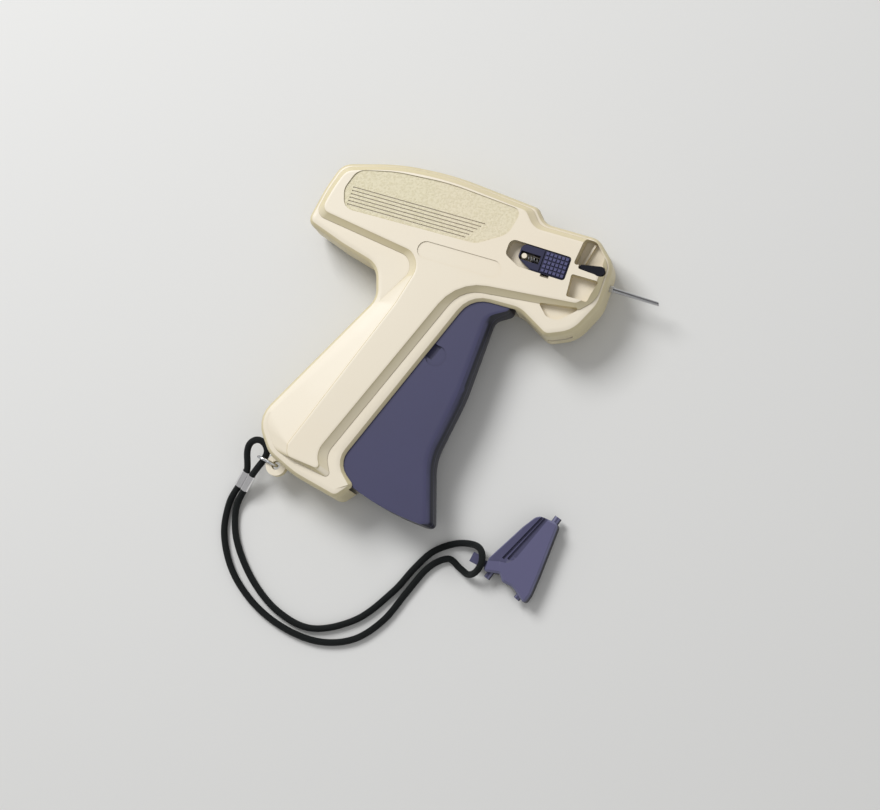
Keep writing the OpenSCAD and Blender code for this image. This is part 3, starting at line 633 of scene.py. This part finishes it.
INK = MouldedPlastic(
    "ink_plastic", face=(0.0040, 0.0045, 0.010), shaded_slope=(0.0030, 0.0030, 0.0065), roughness=0.30,
    grain=7e-6, cloud=0.2, shine=0.22, rim_wear_and_highlight=(0.012, 0.013, 0.024),
)
ACETAL = MouldedPlastic("acetal", face=(0.74, 0.72, 0.64), shaded_slope=(0.62, 0.60, 0.52), roughness=0.4)
NYLON = MouldedPlastic("nylon", face=(0.62, 0.59, 0.48), shaded_slope=(0.52, 0.49, 0.38), roughness=0.45)
STEEL = Metal("ground_steel", (0.60, 0.60, 0.60), roughness=0.24, line=1400, stretch=(1, 1, 0.06))
NEEDLE_STEEL = Metal(
    "needle_steel", (0.66, 0.66, 0.67), roughness=0.16, line=1600, stretch=(0.05, 1, 1),
)
WIRE = Metal("spring_wire", (0.52, 0.52, 0.52), roughness=0.3)
PLATED = Metal("plated_wire", (0.72, 0.73, 0.75), roughness=0.14, line=500, relief=3e-6)
PRESSED = Metal("pressed_sleeve", (0.86, 0.85, 0.86), roughness=0.12, line=320, relief=22e-6)
ZINC = Metal("zinc_casting", (0.36, 0.36, 0.34), roughness=0.5)
SCREW = Metal("black_screw", (0.05, 0.05, 0.055), roughness=0.4)

PLAIN = {
    "trigger_pin": STEEL, "push_pin": STEEL, "lever_pin": STEEL, "feed_axle": STEEL,
    "push_rod": STEEL, "return_spring": WIRE, "button_spring": WIRE, "drive_lever": ACETAL,
    "slide": ACETAL, "feed_wheel": NYLON, "feed_arm": NYLON, "feed_guide": ZINC,
    "needle_hub": STEEL, "needle": NEEDLE_STEEL, "lanyard_link": PLATED,
    "lanyard_ferrule": PRESSED,
}
"""The nodes that keep their own shape, and their finishes."""


# ---------------------------------------------------------------- pieces carried over


@dataclass
class Dresser:
    """Gives CAD nodes their finish, or a finer copy with softened edges.

    Points nearer than WELD and faces thinner than SLIVER, in metres, are merged, and faces within
    FLAT degrees become one. Edges over BEVEL_FROM degrees are rounded, over SHARP_FROM kept sharp.
    """

    WELD: ClassVar[float] = 2e-6
    FLAT: ClassVar[float] = 0.6
    SLIVER: ClassVar[float] = 1e-6
    BEVEL_FROM: ClassVar[float] = 30
    BEVEL_STEPS: ClassVar[int] = 2
    SHARP_FROM: ClassVar[float] = 34
    FACE_WEIGHT: ClassVar[int] = 80

    materials: dict[str, bpy.types.Material] = field(default_factory=dict)

    def material(self, finish: object) -> bpy.types.Material:
        """Builds a finish once and keeps it."""
        if finish.name not in self.materials:
            self.materials[finish.name] = finish.material()
        return self.materials[finish.name]

    def coat(self, piece: bpy.types.Object, finish: object) -> None:
        """Gives a piece one finish all over."""
        piece.data.materials.clear()
        piece.data.materials.append(self.material(finish))

    def seat(
        self, piece: bpy.types.Object, body: Body, slot: str, finish: object, node: str
    ) -> None:
        """Hands a finished piece to its body.

        Args:
            piece: The finished piece, at the origin.
            body: The body that it rides on.
            slot: The record's material slot. It is not used.
            finish: Its finish.
            node: The CAD node that it stands for.
        """
        self.coat(piece, finish)
        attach(piece, body.value)
        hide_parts(node)
        LOG.info("%s rides on %s", piece.name, body.value)

    def softened(
        self, node: str, name: str, edge: float,
        loose: Callable[[bmesh.types.BMFace], bool] = lambda face: False,
        cutters: Sequence[bpy.types.Object] = (),
    ) -> bpy.types.Object:
        """Copies a CAD node, merges its triangles and rounds its sharp edges.

        Args:
            node: The CAD node.
            name: The copy's name.
            edge: The width of the rounded edges, in millimetres.
            loose: Says which faces keep their triangles.
            cutters: Shapes that are cut out of the copy and then removed.

        Returns:
            The copy, which rides on nothing yet.
        """
        source = frame["nodes"][node]
        piece = bpy.data.objects.new(name, source.data.copy())
        bpy.context.scene.collection.objects.link(piece)
        Bench.edit(piece, "VERT")
        bpy.ops.mesh.select_all(action="SELECT")
        bpy.ops.mesh.remove_doubles(threshold=self.WELD)
        Bench.done()
        for cutter in cutters:
            Bench.modify(piece, "BOOLEAN", object=cutter, operation="DIFFERENCE", solver="EXACT")
            bpy.data.objects.remove(cutter)
        Bench.edit(piece)
        Bench.choose(piece, lambda face: not loose(face))
        bpy.ops.mesh.dissolve_limited(angle_limit=math.radians(self.FLAT))
        bpy.ops.mesh.dissolve_degenerate(threshold=self.SLIVER)
        Bench.done()
        Bench.modify(
            piece, "BEVEL", width=edge * MM, segments=self.BEVEL_STEPS, limit_method="ANGLE",
            angle_limit=math.radians(self.BEVEL_FROM), use_clamp_overlap=True,
            miter_outer="MITER_ARC",
        )
        Bench.smooth(piece, self.SHARP_FROM)
        Bench.modify(piece, "WEIGHTED_NORMAL", keep_sharp=True, weight=self.FACE_WEIGHT)
        return piece


# ---------------------------------------------------------------- the studio


@dataclass
class Studio:
    """Camera, floor and lights.

    The view is the photograph's, from above and a little to one side. The camera's own lengths are
    in millimetres. The floor, the lamps and the far clip are in metres.
    """

    reach: float = 900.0
    aim: Point = (-49.02, -67.25, 13.0)
    tilt: tuple[float, float] = (0.17, 0.17)
    turn: float = 18.4
    frame_width: float = 360.8
    sensor: float = 36.0
    far_clip: float = 50
    floor_size: float = 12
    floor_drop: float = 0.0002
    floor_colour: Colour = (0.70, 0.70, 0.69)
    floor_roughness: float = 0.9
    world_light: float = 0.40

    def axes(self) -> tuple[Vector, Vector, Vector]:
        """Works out the camera's own axes.

        Returns:
            The directions to the right, up and back toward the camera.
        """
        cosine, sine = math.cos(math.radians(self.turn)), math.sin(math.radians(self.turn))
        right_tilt, down_tilt = self.tilt
        back = Vector((
            right_tilt * cosine + down_tilt * sine, right_tilt * sine - down_tilt * cosine, 1,
        )).normalized()
        along = (Vector((1, 0, 0)) - back.x * back).normalized()
        across = back.cross(along)
        right = cosine * along + sine * across
        return right, back.cross(right), back

    def camera(self) -> None:
        """Places the camera and makes it the scene's own."""
        right, up, back = self.axes()
        data = bpy.data.cameras.new("camera")
        data.sensor_width = self.sensor
        data.lens = self.sensor * self.reach / self.frame_width
        data.clip_end = self.far_clip
        camera = bpy.data.objects.new("camera", data)
        bpy.context.scene.collection.objects.link(camera)
        turn = Matrix((right, up, back)).transposed().to_4x4()
        camera.matrix_world = Matrix.Translation(place(*self.aim) + back * self.reach * MM) @ turn
        bpy.context.scene.camera = camera

    def floor(self) -> None:
        """Lays the pale floor that the tool lies on."""
        Bench.clear()
        bpy.ops.mesh.primitive_plane_add(size=self.floor_size, location=(0, 0, -self.floor_drop))
        floor = bpy.context.active_object
        floor.name = "floor"
        Bench.settle(floor)
        desk = Desk("pale_floor")
        floor.data.materials.append(
            desk.finish(Base_Color=self.floor_colour, Roughness=self.floor_roughness),
        )

    def lamp(self, name: str, spot: Point, size: float, power: float) -> None:
        """Hangs a square lamp that points at the tool.

        Args:
            name: The lamp's name.
            spot: Its place in metres.
            size: Its width in metres.
            power: Its power in watts.
        """
        data = bpy.data.lights.new(name, "AREA")
        data.shape, data.size, data.energy = "SQUARE", size, power
        lamp = bpy.data.objects.new(name, data)
        bpy.context.scene.collection.objects.link(lamp)
        lamp.location = spot
        lamp.rotation_euler = (-Vector(spot)).to_track_quat("-Z", "Y").to_euler()

    def lights(self) -> None:
        """Hangs the lamps and sets the world."""
        self.lamp("key_lamp", spot=(-0.75, 0.55, 1.05), size=0.6, power=15)
        self.lamp("fill_lamp", spot=(0.9, -0.5, 1.2), size=1.6, power=2.5)
        world = bpy.data.worlds.new("world")
        world.use_nodes = True
        backdrop = world.node_tree.nodes["Background"]
        backdrop.inputs["Color"].default_value = (1, 1, 1, 1)
        backdrop.inputs["Strength"].default_value = self.world_light
        bpy.context.scene.world = world
        bpy.context.scene.view_settings.view_transform = "Standard"


# ---------------------------------------------------------------- the lanyard

CORD_ROUTE: tuple[Point, ...] = (
    (-116.38, -122.1, 5.83), (-115.47, -119.3, 7.4), (-113.7, -115.6, 9.5), (-112, -111.8, 11.1),
    (-111.7, -108.2, 11.8), (-113.8, -105.5, 12.2), (-117, -104.9, 12), (-119.7, -106.9, 11.2),
    (-120.2, -110.8, 10), (-118.23, -118.4, 7.4), (-120.33, -124.85, 3.8), (-122.3, -133.6, 1.6),
    (-119.6, -146.6, 1.4), (-110.6, -159.8, 1.4), (-96.6, -169.6, 1.4), (-80.6, -174.6, 1.4),
    (-65.2, -174.6, 1.4), (-52.2, -168.8, 1.4), (-43.4, -157.6, 1.4), (-38.2, -143.8, 1.4),
    (-33.2, -131.4, 1.4), (-26.6, -125.2, 1.5), (-20.6, -127.2, 1.9), (-16, -128.6, 3.6),
    (-12.8, -126.3, 6.7), (-11.9, -121.7, 8.05), (-14.2, -117.5, 6.6), (-19, -116.4, 3.2),
    (-26.2, -118.6, 1.6), (-33.6, -124.6, 1.4), (-38.6, -133.6, 1.4), (-43.8, -145.6, 1.4),
    (-54.2, -161, 1.4), (-70.4, -170.6, 1.4), (-86.6, -168.8, 1.4), (-101.4, -160.2, 1.4),
    (-113.4, -147.4, 1.4), (-118.6, -135, 1.6), (-117.57, -125.75, 3.8), (-116.65, -123, 5.35),
)
"""The cord's own points, from inside the sleeve round the link, to the cap and back."""


@dataclass
class Lanyard:
    """The cord that ties the cap to the tool, through link and sleeve and round the cap's neck.

    It is swept along its route in so many steps between two points and so many sides, and its map
    repeats once in map_length diameters.
    """

    dresser: Dresser
    diameter: float = 2.8
    steps: int = 8
    sides: int = 20
    map_length: float = 20
    route: tuple[Point, ...] = CORD_ROUTE

    def line(self) -> list[Vector]:
        """Draws the smooth line through the route's points, in metres."""
        knots = [place(*p) for p in self.route]
        last = len(knots) - 1
        line = []
        for i in range(last):
            a, b, c, d = (knots[min(max(i + k, 0), last)] for k in (-1, 0, 1, 2))
            for step in range(self.steps):
                t = step / self.steps
                line.append(0.5 * (
                    2 * b + (c - a) * t + (2 * a - 5 * b + 4 * c - d) * t * t
                    + (3 * b - a - 3 * c + d) * t * t * t
                ))
        return line + [knots[-1]]

    def tube(self, line: list[Vector]) -> bpy.types.Object:
        """Sweeps the cord's round along its line, with its own map along and round it.

        Args:
            line: The centreline in metres.

        Returns:
            The cord's mesh.
        """
        shape = bmesh.new()
        layer = shape.loops.layers.uv.new("UVMap")
        radius = self.diameter * MM / 2
        side = Vector((1, 0, 0))
        rings, lengths, travelled = [], [], 0.0
        for i, point in enumerate(line):
            ahead = line[min(i + 1, len(line) - 1)] - line[max(i - 1, 0)]
            ahead.normalize()
            side = (side - side.dot(ahead) * ahead).normalized()
            across = ahead.cross(side)
            if i:
                travelled += (point - line[i - 1]).length
            lengths.append(travelled)
            turns = [math.tau * k / self.sides for k in range(self.sides)]
            rings.append([
                shape.verts.new(point + radius * (math.cos(a) * side + math.sin(a) * across))
                for a in turns
            ])
        for i in range(len(rings) - 1):
            for k in range(self.sides):
                after = (k + 1) % self.sides
                near, far = rings[i], rings[i + 1]
                face = shape.faces.new((near[k], near[after], far[after], far[k]))
                face.smooth = True
                spots = ((i, k), (i, k + 1), (i + 1, k + 1), (i + 1, k))
                for loop, (ring, turn) in zip(face.loops, spots):
                    along = lengths[ring] / (self.diameter * MM) / self.map_length
                    loop[layer].uv = (along, turn / self.sides)
        shape.faces.new(list(reversed(rings[0])))
        shape.faces.new(rings[-1])
        mesh = bpy.data.meshes.new("cord")
        shape.to_mesh(mesh)
        shape.free()
        cord = bpy.data.objects.new("cord", mesh)
        bpy.context.scene.collection.objects.link(cord)
        return cord

    def build(self) -> None:
        """Makes the cord, whose whole length shows."""
        line = self.line()
        length = sum((b - a).length for a, b in zip(line, line[1:]))
        cord = self.tube(line)
        self.dresser.seat(cord, Body.TOOL, "cord", ElasticCord(), "lanyard_cord")
        LOG.info("cord is %.0f mm long", length / MM)


# ---------------------------------------------------------------- the housing and what shows on it


@dataclass
class Housing:
    """The two moulded halves and their screws."""

    dresser: Dresser
    edge: float = 0.28
    oval_from: Point = (-118, -6, 24.4)
    oval_to: Point = (-40, 20.5, 25.8)

    def in_oval(self, face: bmesh.types.BMFace) -> bool:
        """Says whether a face belongs to the oval's floor and its grooves."""
        low, high = place(*self.oval_from), place(*self.oval_to)
        middle = face.calc_center_median()
        return all(low[i] < middle[i] < high[i] for i in range(3))

    def build(self) -> None:
        """Makes both halves with softened edges."""
        for side in ("near", "far"):
            node, name = f"body_{side}", f"housing_{side}"
            shell = self.dresser.softened(node, name, self.edge, loose=self.in_oval)
            self.dresser.seat(shell, Body.TOOL, "body", HousingPlastic(), node)
        self.dresser.coat(frame["nodes"]["body_screws"], SCREW)


@dataclass
class TriggerMark:
    """The shallow round recess in the trigger's face, with the notch that opens to the housing.

    Lengths are in millimetres and floors are heights above the table. The cutters reach up from the
    floors by their height, clear through the trigger's face.
    """

    middle: tuple[float, float] = (-55.95, -49.5)
    radius: float = 4.4
    floor: float = 19.85
    notch_middle: tuple[float, float] = (-58.4, -47.8)
    notch_floor: float = 18.7
    notch_turn: float = 160
    notch_size: tuple[float, float] = (4.6, 6.4)
    height: float = 4.0
    sides: int = 48

    def cutters(self) -> list[bpy.types.Object]:
        """Makes the shapes that cut the recess and the notch.

        Returns:
            The cutters, the round one first.
        """
        Bench.clear()
        bpy.ops.mesh.primitive_cylinder_add(
            vertices=self.sides, radius=self.radius * MM, depth=self.height * MM,
            location=place(*self.middle, self.floor + self.height / 2),
        )
        disc = bpy.context.active_object
        bpy.ops.mesh.primitive_cube_add(
            size=MM, location=place(*self.notch_middle, self.notch_floor + self.height / 2),
            rotation=(0, 0, math.radians(self.notch_turn)), scale=(*self.notch_size, self.height),
        )
        notch = bpy.context.active_object
        for cutter in (disc, notch):
            Bench.settle(cutter)
        return [disc, notch]


@dataclass(frozen=True)
class Skin:
    """A node that shows and gets a finer copy, with its edges' width in millimetres."""

    node: str
    body: Body
    slot: str
    finish: MouldedPlastic
    edge: float
    keeps_triangles: bool = False


SKINS = (
    Skin("trigger", Body.TRIGGER, "trigger", VIOLET, 0.35),
    Skin("release_button", Body.BUTTON, "button", NAVY, 0.1),
    Skin("needle_lock", Body.LOCK, "lock", INK, 0.4),
    Skin("needle_cap", Body.TOOL, "cap", LILAC, 0.2, keeps_triangles=True),
)


@dataclass
class Works:
    """Everything else that comes over from the frame."""

    dresser: Dresser

    def build(self) -> None:
        """Dresses the nodes that keep their own shape and softens those that show."""
        for node, finish in PLAIN.items():
            self.dresser.coat(frame["nodes"][node], finish)
        for skin in SKINS:
            piece = self.dresser.softened(
                skin.node, f"{skin.node}_skin", skin.edge,
                loose=lambda face: skin.keeps_triangles,
                cutters=TriggerMark().cutters() if skin.body is Body.TRIGGER else (),
            )
            self.dresser.seat(piece, skin.body, skin.slot, skin.finish, skin.node)


def main() -> None:
    """Builds the studio and every sub-assembly in order."""
    logging.basicConfig(level=logging.INFO, format="%(name)s: %(message)s")
    dresser = Dresser()
    studio = Studio()
    studio.camera()
    Lanyard(dresser).build()
    studio.floor()
    studio.lights()
    for maker in (Housing(dresser), Works(dresser)):
        maker.build()


if __name__ == "__main__":
    main()
